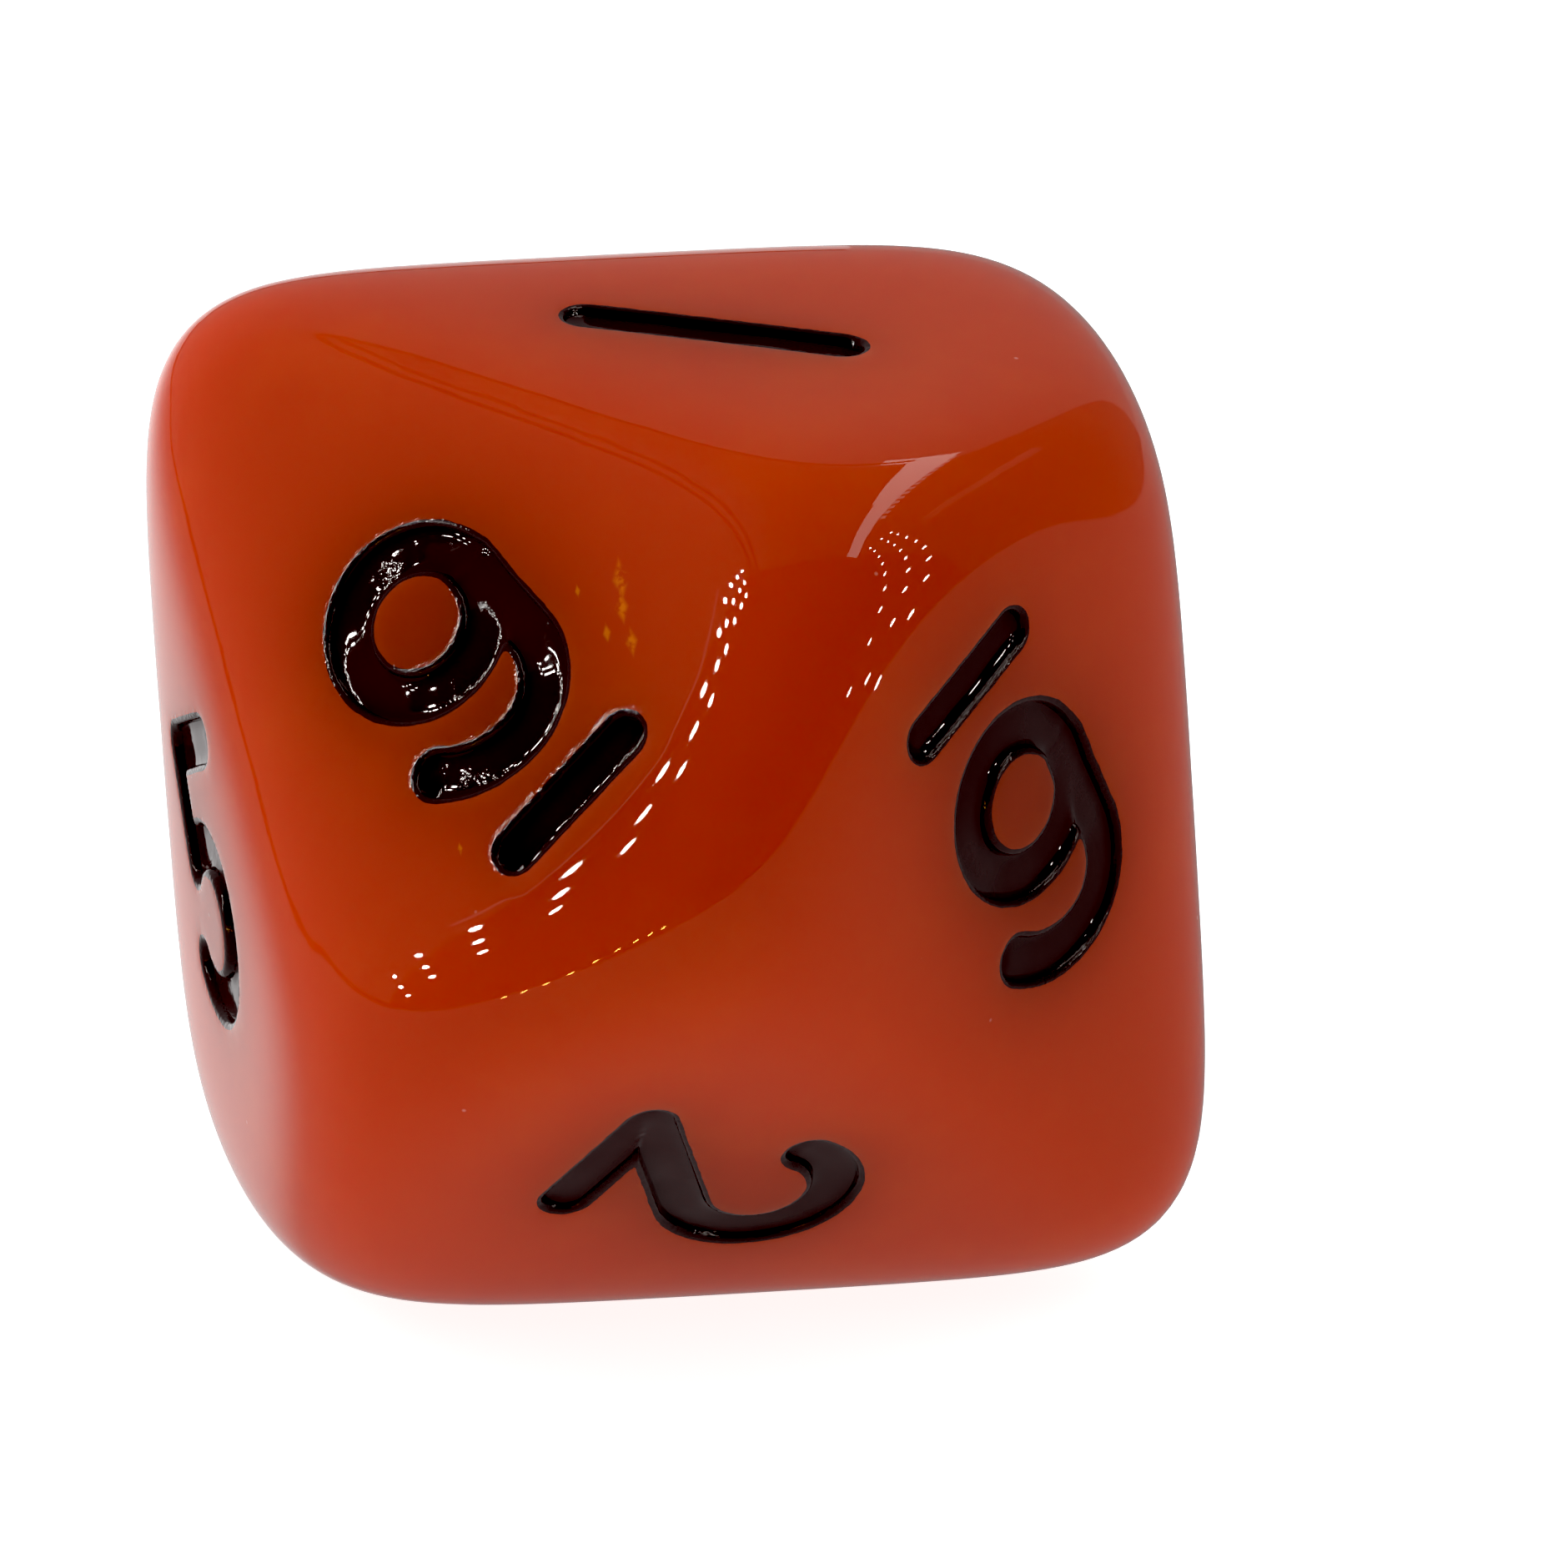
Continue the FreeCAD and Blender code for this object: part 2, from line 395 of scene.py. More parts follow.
def even_loop(points, mark, level):
    """The loop resampled at even steps and brought back onto its level."""
    closed = np.vstack([points, points[:1]])
    reach = np.concatenate([[0], np.cumsum(np.linalg.norm(np.diff(closed, axis=0), axis=1))])
    count = max(8, round(reach[-1] / CONTOUR_STEP))
    at = np.linspace(0, reach[-1], count + 1)[:-1]
    loop = np.stack([np.interp(at, reach, closed[:, axis]) for axis in (0, 1)], axis=1)
    for _ in range(CORRECTIONS):
        off = beyond_edge(loop, mark) - level
        slope = outward(loop, mark)
        square = np.maximum((slope ** 2).sum(axis=1), LEAST_SLOPE)
        loop = loop - slope * (off / square)[:, None]
    return loop


# ---------------------------------------------------------------- one face as a flat triangle mesh
GRID = 0.27                                        # spacing of points on the plain part of a face
EDGE_CLEARANCE = GRID * 0.45                       # between those points and the face's edge
MARK_CLEARANCE = GRID * 0.4                        # and the outermost contour of a mark
LONG_EDGE_STEPS = 60
SHORT_EDGE_STEPS = 28
SAME_POINT = 1e-7


def kite_outline(numeral):
    """Points round the sharp face, the same along an edge from either of its two faces."""
    corners = kite(numeral)
    outline = []
    for index, start in enumerate(corners):
        stop = corners[(index + 1) % 4]
        steps = LONG_EDGE_STEPS if index in (0, 3) else SHORT_EDGE_STEPS
        outline += [start + (stop - start) * n / steps for n in range(steps)]
    return np.array(outline)


def plain_points(outline, marks):
    """A triangular grid inside the outline, clear of its edge and of the marks."""
    low, high = outline.min(axis=0), outline.max(axis=0)
    rows = []
    for row, y in enumerate(np.arange(low[1], high[1], GRID * math.sqrt(0.75))):
        xs = np.arange(low[0] + (row % 2) * GRID / 2, high[0], GRID)
        rows.append(np.stack([xs, np.full_like(xs, y)], axis=1))
    points = np.vstack(rows)
    turn = 1 if np.cross(outline[1] - outline[0], outline[-1] - outline[0]) > 0 else -1
    clear = np.full(len(points), np.inf)
    for start, stop in zip(outline, np.roll(outline, -1, axis=0)):
        along = (stop - start) / np.linalg.norm(stop - start)
        arm = points - start
        clear = np.minimum(clear, turn * (along[0] * arm[:, 1] - along[1] * arm[:, 0]))
    keep = clear > EDGE_CLEARANCE
    for mark in marks:
        keep &= beyond_edge(points, mark) > LEVELS[0] + MARK_CLEARANCE
    return points[keep]


def flat_mesh(numeral):
    """Points in the face's plane, triangles between them, each point's distance beyond each mark, marks."""
    _, right, up = FRAMES[numeral]
    marks = marks_on(numeral)
    outline = kite_outline(numeral) @ np.stack([right, up], axis=1)
    loops = [outline]
    for mark in marks:
        for level in LEVELS:
            loops += contours(mark, level)
    points, edges = [], []
    for loop in loops:
        first = sum(len(part) for part in points)
        count = len(loop)
        points.append(loop)
        edges += [(first + n, first + (n + 1) % count) for n in range(count)]
    points.append(plain_points(outline, marks))
    flat = np.vstack(points)
    made = delaunay_2d_cdt([Vector(point) for point in flat], edges, [], 1, SAME_POINT)
    flat = np.array([tuple(point) for point in made[0]])
    triangles = np.array([list(face) for face in made[2]])
    sides = [beyond_edge(flat, mark) for mark in marks]
    return flat, triangles, sides, marks


# ---------------------------------------------------------------- the moulded body
WALL_MIDDLE = -0.14        # where the groove's wall is half way down, measured from its outline
WALL_SPREAD = 0.035
LIP_START = -0.1           # where the rolled rim ends at the wall
LIP_ROLL = 0.05            # how deep the roll is there
LIP_SPREAD = 0.08          # how soon it dies away over the face


def groove_depth(beyond):
    """Depth of a groove's surface below the face."""
    wall = GROOVE_DEPTH / 2 * (1 - np.tanh((beyond - WALL_MIDDLE) / WALL_SPREAD))
    lip = LIP_ROLL * np.exp(-np.clip(beyond - LIP_START, 0, None) / LIP_SPREAD)
    return np.maximum(wall, lip) + np.minimum(wall, lip) * (beyond > WALL_MIDDLE)


def lay_on_face(numeral, flat):
    """Points of a face's flat mesh on the tumbled surface, from the die's centre."""
    normal, right, up = FRAMES[numeral]
    sharp = normal * APOTHEM + flat[:, :1] * right + flat[:, 1:] * up
    return sharp, tumbled(sharp)


def mesh_object(name, points, faces):
    """A smooth closed mesh from points in millimetres from the die's centre."""
    mesh = bpy.data.meshes.new(name)
    mesh.from_pydata(((points + CENTRE) * MM).tolist(), [], faces.tolist())
    mesh.shade_smooth()
    mesh.update()
    made = bpy.data.objects.new(name, mesh)
    bpy.context.scene.collection.objects.link(made)
    return made


# The shade that the paint casts inside the plastic is painted into the resin's colour as a darker halo round
# each groove.
SHADE_REACH = 0.8          # how far the light wanders inside the plastic
SHADE_STEP = 0.12          # spacing of the spots of paint that are counted
FAR = 1.0                  # distances beyond a groove's outline are kept up to this


def painted_shade_near_paint(flat, marks):
    """Painted shade: how much of the light round each point the paint takes away inside the plastic, later
    painted into the resin's colour.
    """
    xs = np.arange(-NUMERAL_WIDTH, NUMERAL_WIDTH, SHADE_STEP)
    ys = np.arange(-NUMERAL_HEIGHT - 1, NUMERAL_HEIGHT, SHADE_STEP)
    grid = np.stack(np.meshgrid(xs, ys), axis=-1).reshape(-1, 2)
    painted = grid[np.min([beyond_edge(grid, mark) for mark in marks], axis=0) < 0]
    shade = np.zeros(len(flat))
    for spot in painted:
        shade += np.exp(-np.linalg.norm(flat - spot, axis=1) / SHADE_REACH)
    return shade * SHADE_STEP ** 2 / (2 * math.pi * SHADE_REACH ** 2)


def build_body(flats):
    """All ten faces with their grooves, joined along the shared edges into one closed skin.

    Each point also keeps the painted shade that the paint casts round it, and its distance beyond the nearest
    groove's outline.
    """
    places = {}
    points, faces, shades, rims = [], [], [], []
    for numeral, (flat, triangles, sides, marks) in flats.items():
        shade = painted_shade_near_paint(flat, marks)
        sharp, soft = lay_on_face(numeral, flat)
        depth = np.max([groove_depth(side) * (side < LEVELS[0]) for side in sides], axis=0)
        nearest = np.min(sides, axis=0)
        soft = soft - FRAMES[numeral][0] * depth[:, None]
        index = np.empty(len(flat), int)
        for n, (key, point) in enumerate(zip(np.round(sharp, 4) + 0.0, soft)):
            place = tuple(key)
            if place not in places:
                places[place] = len(points)
                points.append(point)
                shades.append(shade[n])
                rims.append(min(nearest[n], FAR))
            index[n] = places[place]
        faces.append(index[triangles])
    body = mesh_object("body_shell", np.array(points), np.vstack(faces))
    for name, values in (("shade", shades), ("rim", rims)):
        body.data.attributes.new(name, "FLOAT", "POINT").data.foreach_set("value", values)
    return body


# ---------------------------------------------------------------- the paint in the grooves
RIM_DEPTH = 0.02           # the paint's edge below the face
WALL_SLOPE = 2.0           # of the paint on the groove's wall
CREEP_REACH = 0.3          # how far from the edge its surface starts to curve up to the wall
CREEP_CURVE = 1.5
LEANS = {9: 0.2, 6: 0.12, 5: 0.0}     # how steeply its surface falls towards the numeral's foot
USUAL_LEAN = 0.1
LEAN_TURN = 2.0            # how soon the fall sets in as a stroke turns across
CREASE = 0.012             # softness of the line between the wall and the rest
UNEVEN = 0.014             # height of its dimples
UNEVEN_SIZE = 0.8
UNEVEN_CHANGE = 7.3        # sets the dimples of one numeral apart from the next one's
ON_EDGE = 1e-4             # points this near to its outline are on it
OVERLAP = 0.02             # paint below the groove's surface, so no gap shows


def paint_depth(flat, beyond, mark, numeral):
    """Depth of the paint's top below the face: a steep wall, then a dimpled meniscus that leans."""
    inward = np.clip(-beyond, 0, None)
    footward = -np.tanh(LEAN_TURN * outward(flat, mark)[:, 1]) * (mark[2] - inward)
    lean = LEANS.get(numeral, USUAL_LEAN) * footward
    dimples = np.array([noise.noise(Vector((*point, numeral * UNEVEN_CHANGE)) / UNEVEN_SIZE)
                        for point in flat])
    creep = CREEP_CURVE / 2 * np.clip(CREEP_REACH - inward, 0, None) ** 2
    pool = INK_RECESS + lean + UNEVEN * dimples - creep
    wall = RIM_DEPTH + WALL_SLOPE * inward
    return -CREASE * np.logaddexp(-pool / CREASE, -wall / CREASE)


def build_paint(numeral, flat, triangles, beyond, mark):
    """A closed solid of paint: its top, its underside along the groove, and a skirt between them."""
    within = beyond < INK_EDGE + ON_EDGE
    faces = triangles[within[triangles].all(axis=1)]
    used, faces = np.unique(faces, return_inverse=True)
    faces = faces.reshape(-1, 3)
    _, soft = lay_on_face(numeral, flat[used])
    normal = FRAMES[numeral][0]
    top = paint_depth(flat[used], beyond[used], mark, numeral)
    bottom = np.maximum(top + OVERLAP, groove_depth(beyond[used]) + OVERLAP)
    count = len(used)
    half_edges = {(a, b) for face in faces for a, b in zip(face, np.roll(face, -1))}
    skirt = []
    for a, b in half_edges:
        if (b, a) not in half_edges:
            skirt += [(b, a, a + count), (b, a + count, b + count)]
    points = np.vstack([soft - normal * top[:, None], soft - normal * bottom[:, None]])
    shell = np.vstack([faces, faces[:, ::-1] + count, np.array(skirt)])
    return mesh_object(mark[0] + "_paint", points, shell)


# ---------------------------------------------------------------- materials
class Graph:
    """Short ways to add and join the nodes of one material or world."""

    def __init__(self, owner):
        owner.use_nodes = True
        self.tree = owner.node_tree
        self.tree.nodes.clear()

    def add(self, kind, settings=None, **inputs):
        """A node with the given settings and with inputs that are values or other nodes' outputs."""
        node = self.tree.nodes.new(kind)
        for key, value in (settings or {}).items():
            setattr(node, key, value)
        for key, value in inputs.items():
            self.join(node, key.replace("_", " "), value)
        return node

    def join(self, node, key, value):
        socket = node.inputs[int(key)] if key.isdigit() else node.inputs[key]
        if isinstance(value, bpy.types.NodeSocket):
            self.tree.links.new(value, socket)
        else:
            socket.default_value = value

    def math(self, operation, first, second=0.0, third=0.0):
        node = self.add("ShaderNodeMath", {"operation": operation})
        for key, value in zip("012", (first, second, third)):
            self.join(node, key, value)
        return node.outputs[0]

    def ramp(self, value, low, high, to_low=0.0, to_high=1.0):
        """A smooth step of value between low and high."""
        node = self.add("ShaderNodeMapRange", {"interpolation_type": "SMOOTHSTEP"})
        for key, number in zip("01234", (value, low, high, to_low, to_high)):
            self.join(node, key, number)
        return node.outputs[0]

    def mix(self, factor, first, second):
        """A colour between two others."""
        node = self.add("ShaderNodeMix", {"data_type": "RGBA"})
        for key, value in zip("067", (factor, first, second)):
            self.join(node, key, value)
        return node.outputs[2]

    def dot(self, first, second):
        settings = {"operation": "DOT_PRODUCT"}
        node = self.add("ShaderNodeVectorMath", settings, **{"0": first, "1": tuple(second)})
        return node.outputs["Value"]

    def mix_value(self, factor, first, second):
        """A number between two others."""
        node = self.add("ShaderNodeMix")
        for key, value in zip("023", (factor, first, second)):
            self.join(node, key, value)
        return node.outputs[0]

    def bump(self, value, middle, reach):
        """One at the middle, falling smoothly to nothing at reach on either side."""
        return self.ramp(self.math("ABSOLUTE", self.math("SUBTRACT", value, middle)), 0.0, reach, 1.0, 0.0)

    def noise(self, where, scale, detail=2.0):
        node = self.add("ShaderNodeTexNoise", Vector=where, Scale=scale, Detail=detail, Roughness=0.5)
        return node.outputs[0]

    def attribute(self, name):
        """A value that the mesh keeps at its points."""
        return self.add("ShaderNodeAttribute", {"attribute_name": name}).outputs["Fac"]


def millimetres(graph):
    """The place on the object, in millimetres."""
    place = graph.add("ShaderNodeTexCoord").outputs["Object"]
    scaled = graph.add("ShaderNodeVectorMath", {"operation": "SCALE"}, Vector=place, Scale=1 / MM)
    return scaled.outputs[0]


# Colours are linear; scales of noise are waves per millimetre, and reliefs are millimetres.
RESIN = (0.53, 0.061, 0.019, 1)
RESIN_CLOUD = (0.55, 0.069, 0.019, 1)
CLOUD_SCALE = 0.35
SCATTER = 3                # how far light goes inside the plastic at most
PAINTED_SHADE = 1.1                # painted shade: how much the resin round the paint is darkened for the light that the paint takes away
RIPPLE_SCALE = 0.5
RIPPLE = 0.01              # share of the relief
RELIEF = 0.2
CHIP_SCALE = 11.0
CHIP_RELIEF = 0.01
CHIPPED = (0.03, 0.16)     # the chips fade between these distances from the groove
SMEAR = 0.02               # how far the paint spills over the groove's rim
SMEAR_UNEVEN = 0.05
SMEAR_SCALE = 3.5
SMEAR_BLUR = 0.004


def resin_material():
    """Translucent orange-red plastic, polished by tumbling, with some paint over the grooves' rims."""
    material = bpy.data.materials.new("red_resin")
    graph = Graph(material)
    where = millimetres(graph)
    rim = graph.attribute("rim")
    relief = resin_relief(graph, where, rim)
    shader = graph.add(
        "ShaderNodeBsdfPrincipled",
        {"subsurface_method": "RANDOM_WALK"},
        Base_Color=resin_colour(graph, where),
        Roughness=0.02,
        IOR=1.5,
        Subsurface_Weight=1.0,
        Subsurface_Radius=(1.0, 0.75, 0.6),
        Subsurface_Scale=SCATTER * MM,
        Normal=relief,
    )
    smear = graph.add("ShaderNodeBsdfPrincipled", Base_Color=PAINT, Roughness=0.05, Normal=relief)
    uneven = graph.noise(where, SMEAR_SCALE, 3.0)
    reach = graph.math("MULTIPLY_ADD", uneven, -SMEAR_UNEVEN, SMEAR + SMEAR_UNEVEN / 2)
    spilled = graph.ramp(graph.math("SUBTRACT", rim, reach), -SMEAR_BLUR, SMEAR_BLUR, 1.0, 0.0)
    both = graph.add("ShaderNodeMixShader", **{"0": spilled, "1": shader.outputs[0], "2": smear.outputs[0]})
    graph.add("ShaderNodeOutputMaterial", Surface=both.outputs[0])
    return material


def resin_colour(graph, where):
    """Faint clouds, painted amber glints and dust, all darkened near the paint by painted shade."""
    cloud = graph.ramp(graph.noise(where, CLOUD_SCALE, 3.0), 0.45, 0.75)
    colour = graph.mix(cloud, RESIN, RESIN_CLOUD)
    # painted glints: amber reflections of lamps inside the plastic, mixed into the resin's colour
    colour = graph.mix(painted_glints(graph, where), colour, AMBER_GLINT)
    colour = graph.mix(dust(graph, where), colour, DUST)
    # painted shade: the resin's colour is darkened where the paint takes the light away inside the plastic
    kept = graph.math("MULTIPLY_ADD", graph.attribute("shade"), -PAINTED_SHADE, 1.0)
    return graph.add("ShaderNodeVectorMath", {"operation": "SCALE"}, Vector=colour, Scale=kept).outputs[0]


def resin_relief(graph, where, rim):
    """Slow ripples, and fine chips along the grooves' rims."""
    ripple = graph.noise(where, RIPPLE_SCALE)
    bump = graph.add("ShaderNodeBump", Height=ripple, Strength=RIPPLE, Distance=RELIEF * MM)
    chips = graph.noise(where, CHIP_SCALE, 1.0)
    chipped = graph.ramp(rim, *CHIPPED, 1.0, 0.0)
    bump = graph.add("ShaderNodeBump", Height=chips, Strength=chipped, Distance=CHIP_RELIEF * MM,
                     Normal=bump.outputs[0])
    return bump.outputs[0]


AMBER_GLINT = (0.75, 0.2, 0.02, 1)
# Painted amber glints under face 9, lamplight reflected inside the plastic and painted into its colour, as
# right and up from its middle and half length, in millimetres.
GLINT_PLACES = ((2.7, -1.82, 0.3), (2.4, -2.22, 0.24), (2.15, -2.8, 0.22), (2.05, -1.4, 0.1), (1.95, -2.35, 0.15),
          (-2.13, -3.11, 0.1))
GLINT_TURN = math.radians(59)              # from the face's right to the line that they follow
GLINT_SLIMNESS = 2.4
GLINT_CORE = 0.3           # a glint is strongest up to this share of its half length
GLINT_END = 1.5            # and ends at this one
GLINT_STRENGTH = 1.1
GLINT_RAGGEDNESS = 5.0     # scale of the noise that breaks them up


def painted_glints(graph, where):
    """Painted glints: amber reflections of the lamps inside the plastic, painted into its colour, ragged and
    stretched along one line.
    """
    normal, right, up = FRAMES[9]
    lengthways_axis = right * math.cos(GLINT_TURN) + up * math.sin(GLINT_TURN)
    sideways_axis = up * math.cos(GLINT_TURN) - right * math.sin(GLINT_TURN)
    total = 0.0
    for across, along, reach in GLINT_PLACES:
        place = CENTRE + normal * APOTHEM + right * across + up * along
        arm = graph.add("ShaderNodeVectorMath", {"operation": "SUBTRACT"}, **{"0": where, "1": tuple(place)})
        sideways = graph.math("ABSOLUTE", graph.dot(arm.outputs[0], sideways_axis))
        lengthways = graph.math("ABSOLUTE", graph.dot(arm.outputs[0], lengthways_axis))
        far = graph.math("MULTIPLY_ADD", sideways, GLINT_SLIMNESS, lengthways)
        one = graph.ramp(far, reach * GLINT_CORE, reach * GLINT_END, GLINT_STRENGTH, 0.0)
        total = graph.math("ADD", one, total)
    ragged = graph.ramp(graph.noise(where, GLINT_RAGGEDNESS, 3.0), 0.38, 0.58)
    return graph.math("MULTIPLY", total, ragged)


DUST = (0.75, 0.35, 0.28, 1)
DUST_SCALE = 0.9           # one place for a grain in each cell of about a millimetre
DUST_RADIUS = (0.015, 0.045)               # in cells, where a grain starts to fade and where it ends
DUST_SHARE = 0.7           # cells whose random value is over this have a grain
DUST_STRENGTH = 0.6


def dust(graph, where):
    """A few pale pinpricks, none near another."""
    cells = graph.add("ShaderNodeTexVoronoi", Vector=where, Scale=DUST_SCALE)
    near = graph.ramp(cells.outputs["Distance"], *DUST_RADIUS, 1.0, 0.0)
    chance = graph.add("ShaderNodeSeparateColor", Color=cells.outputs["Color"]).outputs[0]
    chosen = graph.ramp(chance, DUST_SHARE, DUST_SHARE + 0.02, 0.0, DUST_STRENGTH)
    return graph.math("MULTIPLY", near, chosen)


PAINT = (0.03, 0.011, 0.011, 1)
PAINT_THIN = (0.038, 0.015, 0.015, 1)
PATCH_SCALE = 0.9          # of thin places and of grainy patches
WAVE_SCALE = 1.6
WAVES = 0.05               # shares of the relief
GRAIN_SCALE = 9.0
GRAINS = 0.06
PAINT_RELIEF = 0.3         # strength of all that relief


def paint_material():
    """Glossy blackish-maroon enamel with slow waves and a few rough grains in its surface."""
    material = bpy.data.materials.new("maroon_enamel")
    graph = Graph(material)
    where = millimetres(graph)
    patches = graph.noise(where, PATCH_SCALE)
    grainy = graph.math("MULTIPLY", graph.ramp(patches, 0.5, 0.6), GRAINS)
    grains = graph.math("MULTIPLY", graph.noise(where, GRAIN_SCALE), grainy)
    height = graph.math("MULTIPLY_ADD", graph.noise(where, WAVE_SCALE), WAVES, grains)
    bump = graph.add("ShaderNodeBump", Height=height, Strength=PAINT_RELIEF, Distance=RELIEF * MM)
    shader = graph.add(
        "ShaderNodeBsdfPrincipled",
        Base_Color=graph.mix(patches, PAINT, PAINT_THIN),
        Roughness=0.03,
        IOR=1.45,
        Normal=bump.outputs[0],
    )
    graph.add("ShaderNodeOutputMaterial", Surface=shader.outputs[0])
    return material


def glow_material(name, colour, strength):
    """A surface that only shines."""
    material = bpy.data.materials.new(name)
    graph = Graph(material)
    shader = graph.add("ShaderNodeEmission", Color=(*colour, 1), Strength=strength)
    graph.add("ShaderNodeOutputMaterial", Surface=shader.outputs[0])
    return material


def floor_material():
    """White paper so bright that it leaves only a breath of shadow."""
    material = bpy.data.materials.new("white_floor")
    graph = Graph(material)
    seen = graph.add("ShaderNodeLightPath").outputs["Is Camera Ray"]
    shader = graph.add(
        "ShaderNodeBsdfPrincipled",
        Base_Color=FLOOR_COLOUR,
        Roughness=0.9,
        Emission_Color=(1, 1, 1, 1),
        Emission_Strength=graph.mix_value(seen, FLOOR_LIGHT, FLOOR_SEEN),
    )
    graph.add("ShaderNodeOutputMaterial", Surface=shader.outputs[0])
    return material


# ---------------------------------------------------------------- floor, light and camera
# Places in the light tent are shares of its height, measured from the die's middle.
FLOOR_SIZE = 3000
FLOOR_GAP = 0.01           # between the floor and the die
FLOOR_COLOUR = (0.7, 0.7, 0.7, 1)
FLOOR_SEEN = 0.88          # the floor's own shine to the camera
FLOOR_LIGHT = 0.55         # and on the die
TENT_HEIGHT = 600          # the ceiling above the die's middle
TENT_TURN = 11.7           # the tent faces the camera
BACK_WALL = 0.76           # the back wall's distance
BACK_WALL_RIGHT = 0.43     # its right edge
LEFT_WALL = -0.64


def add_floor():
    bpy.ops.mesh.primitive_plane_add(size=FLOOR_SIZE * MM, location=(0, 0, cad_low[2] - FLOOR_GAP * MM))
    floor = bpy.context.object
    floor.name = "floor"
    floor.data.materials.append(floor_material())
    floor.visible_glossy = False


def tent_point(across, back, height):
    """A place in the tent: across to the right, towards the back, and up."""
    place = Vector((across, back, height)) * TENT_HEIGHT
    place.rotate(Matrix.Rotation(math.radians(TENT_TURN), 3, "Z"))
    return (place + Vector(CENTRE)) * MM


def only_reflected(name, corners, faces, material):
    """A part of the tent that is seen in reflections alone."""
    mesh = bpy.data.meshes.new(name)
    mesh.from_pydata(corners, [], faces)
    mesh.materials.append(material)
    made = bpy.data.objects.new(name, mesh)
    bpy.context.scene.collection.objects.link(made)
    made.visible_camera = False
    made.visible_diffuse = False
    made.visible_shadow = False
    return made


def add_bar(name, start, stop, width, material):
    """A flat bar between two points of the tent, facing the die."""
    start, stop = Vector(start), Vector(stop)
    side = (stop - start).cross((start + stop) / 2).normalized() * width / 2
    corners = [tent_point(*point) for point in (start - side, start + side, stop + side, stop - side)]
    only_reflected(name, corners, [(0, 1, 2, 3)], material)


LAMP_SIDES = 12


def add_lamps(name, places, radius, material):
    """Small round lamps facing the die."""
    corners, faces = [], []
    for place in places:
        middle = Vector(place)
        level = Vector((0, 0, 1)).cross(middle).normalized()
        above = middle.cross(level).normalized()
        faces.append(tuple(range(len(corners), len(corners) + LAMP_SIDES)))
        for step in range(LAMP_SIDES):
            turn = 2 * math.pi * step / LAMP_SIDES
            corners.append(tent_point(*(middle + (level * math.cos(turn) + above * math.sin(turn)) * radius)))
    only_reflected(name, corners, faces, material)


def strip_lamp(azimuth, reach, rise):
    """A place in the tent by its azimuth, its reach from the middle and its rise over that reach."""
    around = math.radians(azimuth)
    return (reach * math.sin(around), -reach * math.cos(around), reach * rise)


def rise_at(row, start, step, growth):
    """A strip's rise at a row, where the steps between rows grow or shrink evenly."""
    return start + step * row + growth * row ** 2


LEFT_STRIPS = (-69, -66, -63)              # azimuths of the strips of lamps, in degrees
LEFT_ROWS = 11
LEFT_REACH = 0.76
LEFT_RISE = (0.214, 0.145, -0.0033)
LEFT_LAG = 0.048           # each strip's lamps are this much lower than the last one's
LEFT_BOW = 3.2             # how far the strips bow to the front, in degrees
BOW_ROW = 4                # the row where they bow most
LEFT_RADIUS = 0.0075
EDGE_ROWS = range(2, 8)    # rows between which the left strip's bright edge shows
EDGE_SHIFT = -3            # from the first strip to that edge, in degrees
EDGE_WIDTH = 0.006

RIGHT_STRIPS = (65.5, 74.8, 80.9)
RIGHT_ROWS = 9
RIGHT_REACH = 0.93
RIGHT_RISE = (0.317, 0.1, 0.012)
RIGHT_LAG = 0.104
RIGHT_SPLAY = 8            # how far their feet splay to the front, in degrees
SPLAY_ROWS = 1.3           # and how soon that dies away upwards
RIGHT_RADIUS = 0.0115

FRONT_LAMPS = np.arange(-41, -12, 3.3)     # azimuths of the gold lamps along the tent's front
FRONT_RISE = 0.055
FRONT_STEP = -29           # azimuth where their row steps up
FRONT_STEP_WIDTH = 5
FRONT_RADIUS = 0.0095

# What each kind of light looks like: colour and strength.
GLOWS = {
    "lamp": ((1, 0.97, 0.93), 100),
    "far_lamp": ((1, 0.97, 0.93), 55),
    "gold_lamp": ((1, 0.5, 0.1), 50),
    "bar_light": ((1, 0.93, 0.88), 2.5),
    "dim_light": ((1, 0.93, 0.88), 1.6),
    "faint_light": ((1, 0.9, 0.85), 0.75),
    "hazy_light": ((1, 0.9, 0.85), 0.3),
    "rail": ((0, 0, 0), 0),
}
# Bars along the ceiling: name, both ends as across and back, width, and kind of light.
CEILING_BARS = (
    ("bar_light", (0.31, -0.3), (0.36, 0.83), 0.11, "bar_light"),
    ("bar_light_side", (0.305, 0.2), (0.3, 0.8), 0.08, "bar_light"),
    ("bar_light_end", (0.17, 0.8), (0.37, 0.8), 0.06, "bar_light"),
    ("right_edge_light", (0.87, 0), (1.0, 0.9), 0.11, "hazy_light"),
    ("back_rail", (-0.5, 0.7), (0.43, 0.82), 0.02, "rail"),
    ("left_rail", (-0.5, 0.68), (LEFT_WALL, -0.3), 0.016, "rail"),
    ("left_rail", (-0.45, 0.68), (LEFT_WALL + 0.05, -0.3), 0.016, "rail"),
)
BAR_CELLS = np.arange(0.05, 0.83, 0.055)   # how far back the cells beside the bar light are
CELL_LEFT = 0.39
CELL_RIGHT = 0.43
CELL_SLANT = 0.01
CELL_WIDTH = 0.03


def bow(row):
    """How far the left strips bow to the front at a row, in degrees."""
    return LEFT_BOW * (1 + math.cos(math.pi * min(abs(row - BOW_ROW) / BOW_ROW, 1)))


def left_lamp(row, column):
    rise = rise_at(row, *LEFT_RISE) - LEFT_LAG * column
    return strip_lamp(LEFT_STRIPS[column] + bow(row), LEFT_REACH, rise)


